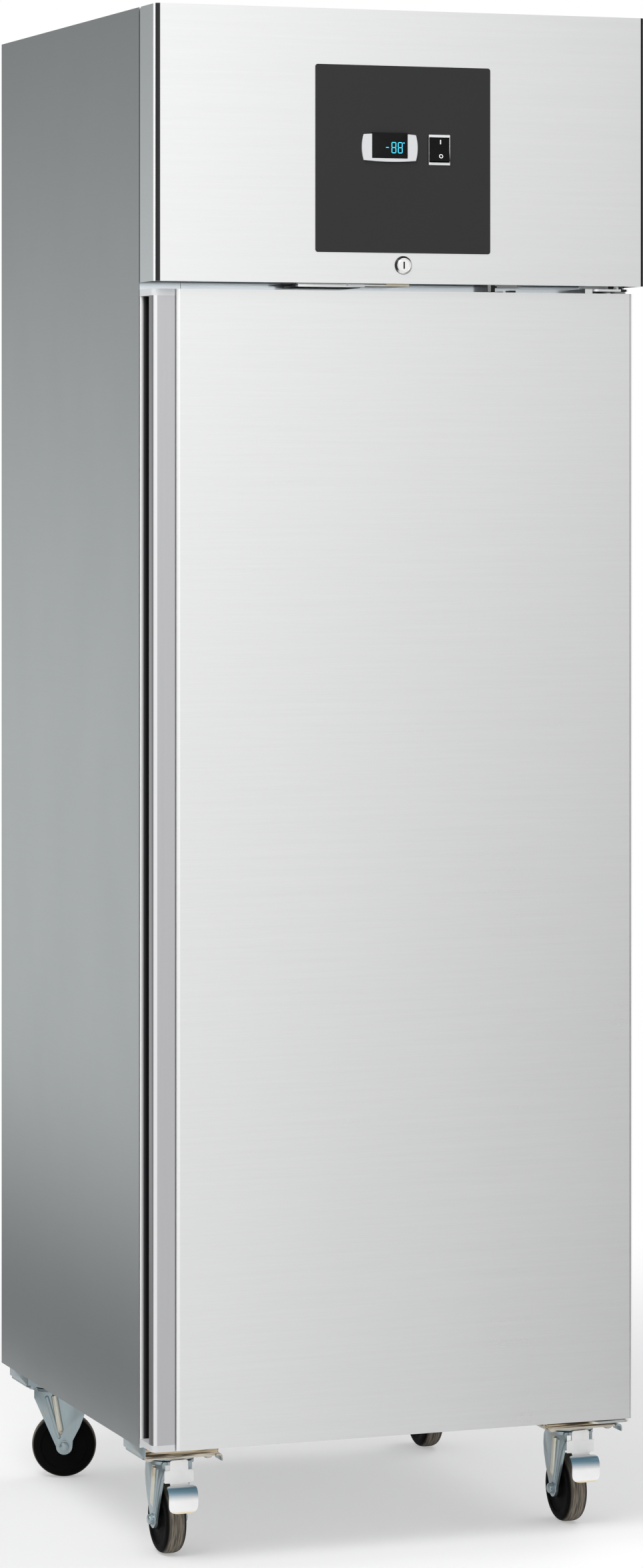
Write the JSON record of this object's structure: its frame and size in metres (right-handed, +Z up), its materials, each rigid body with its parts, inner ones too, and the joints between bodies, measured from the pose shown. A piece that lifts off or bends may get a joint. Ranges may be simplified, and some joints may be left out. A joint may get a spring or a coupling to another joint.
{
  "type": "commercial refrigerator",
  "caption": "Upright one-door stainless steel refrigerator on swivel castors, with a full-height grip, a lift-up hood over a top-mounted cooling unit and wire shelves.",
  "frame": {"origin": "on the floor under the middle of the overall box", "axes": "+Z up, -Y towards the person who opens the door, +X to that person's right"},
  "size_m": [0.68, 0.704, 2.01],
  "materials": {
    "stainless_steel": "brushed stainless steel",
    "galvanised_steel": "galvanised sheet",
    "zinc_plated_steel": "bright zinc plating",
    "chrome": "polished chrome",
    "foam": "rigid foam",
    "coated_wire": "grey coated wire",
    "aluminium_fins": "thin fins",
    "copper": "drawn copper",
    "black_paint": "satin black paint",
    "black_plastic": "moulded",
    "display": "smooth dark window",
    "panel_black": "satin",
    "light_plastic": "moulded light grey",
    "white_plastic": "moulded white",
    "grey_plastic": "moulded mid grey",
    "gasket": "soft extruded seal",
    "wheel": "hard black tread"
  },
  "bodies": {
    "root": {"left_side_panel": "stainless_steel", "right_side_panel": "stainless_steel", "back_panel": "galvanised_steel", "bottom_panel": "galvanised_steel", "top_deck": "galvanised_steel", "front_frame": "stainless_steel", "inner_liner": "stainless_steel", "foam_shell": "foam", "rear_grille": "galvanised_steel", "shelf_uprights": "stainless_steel", "shelf_runners": "stainless_steel", "wire_shelves": "coated_wire", "evaporator_coil": "aluminium_fins", "evaporator_cover": "stainless_steel", "evaporator_fan_motor": "black_paint", "drain_pipe": "white_plastic", "compressor": "black_paint", "condenser_coil": "aluminium_fins", "condenser_shroud": "galvanised_steel", "condenser_fan_motor": "black_paint", "filter_drier": "copper", "refrigerant_pipes": "copper", "electrical_box": "grey_plastic", "upper_hinge": "zinc_plated_steel", "lower_hinge": "zinc_plated_steel", "door_switch": "black_plastic", "castor_brackets": "zinc_plated_steel", "castor_top_plates": "zinc_plated_steel", "hood_hinge_pins": "zinc_plated_steel", "hood_catch": "stainless_steel"},
    "hood": {"hood_panel": "stainless_steel", "control_plate": "panel_black", "controller": "display", "controller_bezel": "light_plastic", "rocker_frame": "black_plastic", "lock_barrel": "chrome"},
    "lock": {"lock_core": "chrome"},
    "rocker": {"rocker_button": "black_plastic"},
    "door": {"door_skin": "stainless_steel", "door_foam": "foam", "door_liner": "stainless_steel", "door_gasket": "gasket", "handle_profile": "stainless_steel", "handle_pocket": "black_plastic", "handle_end_caps": "light_plastic", "hinge_bushes": "white_plastic", "switch_magnet": "black_plastic"},
    "condenser_fan": {"condenser_fan_blade": "black_plastic"},
    "evaporator_fan": {"evaporator_fan_blade": "black_plastic"},
    "tray": {"condensate_tray": "white_plastic"},
    "fork_front_left": {"castor_fork_front_left": "zinc_plated_steel"},
    "wheel_front_left": {"castor_wheel_front_left": "wheel"},
    "pedal_front_left": {"brake_pedal_front_left": "chrome"},
    "fork_front_right": {"castor_fork_front_right": "zinc_plated_steel"},
    "wheel_front_right": {"castor_wheel_front_right": "wheel"},
    "pedal_front_right": {"brake_pedal_front_right": "chrome"},
    "fork_rear_left": {"castor_fork_rear_left": "zinc_plated_steel"},
    "wheel_rear_left": {"castor_wheel_rear_left": "wheel"},
    "fork_rear_right": {"castor_fork_rear_right": "zinc_plated_steel"},
    "wheel_rear_right": {"castor_wheel_rear_right": "wheel"}
  },
  "joints": [
    {"name": "door_hinge", "type": "hinge", "parent": "root", "child": "door", "pos_m": [0.318, -0.31, 0.9], "axis": [0, 0, 1], "range_deg": [0, 110]},
    {"name": "hood_hinge", "type": "hinge", "parent": "root", "child": "hood", "pos_m": [0, -0.2885, 2], "axis": [-1, 0, 0], "range_deg": [0, 80]},
    {"name": "lock_turn", "type": "hinge", "parent": "hood", "child": "lock", "pos_m": [-0.002, -0.348, 1.6789], "axis": [0, 1, 0], "range_deg": [0, 90]},
    {"name": "rocker_tilt", "type": "hinge", "parent": "hood", "child": "rocker", "pos_m": [0.0478, -0.343, 1.8297], "axis": [1, 0, 0], "range_deg": [0, 12]},
    {"name": "condenser_fan_spin", "type": "hinge", "parent": "root", "child": "condenser_fan", "pos_m": [-0.145, 0.2, 1.805], "axis": [0, 1, 0], "continuous": true},
    {"name": "evaporator_fan_spin", "type": "hinge", "parent": "root", "child": "evaporator_fan", "pos_m": [0, 0.105, 1.5], "axis": [0, 0, 1], "continuous": true},
    {"name": "tray_slide", "type": "slide", "parent": "root", "child": "tray", "axis": [0, 1, 0], "range_m": [0, 0.13]},
    {"name": "castor_swivel_front_left", "type": "hinge", "parent": "root", "child": "fork_front_left", "pos_m": [-0.282, -0.233, 0.125], "axis": [0, 0, 1], "continuous": true},
    {"name": "wheel_spin_front_left", "type": "hinge", "parent": "fork_front_left", "child": "wheel_front_left", "pos_m": [-0.282, -0.218, 0.045], "axis": [1, 0, 0], "continuous": true},
    {"name": "brake_front_left", "type": "hinge", "parent": "fork_front_left", "child": "pedal_front_left", "pos_m": [-0.282, -0.259, 0.109], "axis": [1, 0, 0], "range_deg": [0, 15]},
    {"name": "castor_swivel_front_right", "type": "hinge", "parent": "root", "child": "fork_front_right", "pos_m": [0.282, -0.233, 0.125], "axis": [0, 0, 1], "continuous": true},
    {"name": "wheel_spin_front_right", "type": "hinge", "parent": "fork_front_right", "child": "wheel_front_right", "pos_m": [0.282, -0.218, 0.045], "axis": [1, 0, 0], "continuous": true},
    {"name": "brake_front_right", "type": "hinge", "parent": "fork_front_right", "child": "pedal_front_right", "pos_m": [0.282, -0.259, 0.109], "axis": [1, 0, 0], "range_deg": [0, 15]},
    {"name": "castor_swivel_rear_left", "type": "hinge", "parent": "root", "child": "fork_rear_left", "pos_m": [-0.282, 0.292, 0.125], "axis": [0, 0, 1], "continuous": true},
    {"name": "wheel_spin_rear_left", "type": "hinge", "parent": "fork_rear_left", "child": "wheel_rear_left", "pos_m": [-0.26765, 0.28761, 0.045], "axis": [-0.2924, -0.9563, 0], "continuous": true},
    {"name": "castor_swivel_rear_right", "type": "hinge", "parent": "root", "child": "fork_rear_right", "pos_m": [0.282, 0.292, 0.125], "axis": [0, 0, 1], "continuous": true},
    {"name": "wheel_spin_rear_right", "type": "hinge", "parent": "fork_rear_right", "child": "wheel_rear_right", "pos_m": [0.282, 0.307, 0.045], "axis": [1, 0, 0], "continuous": true}
  ]
}
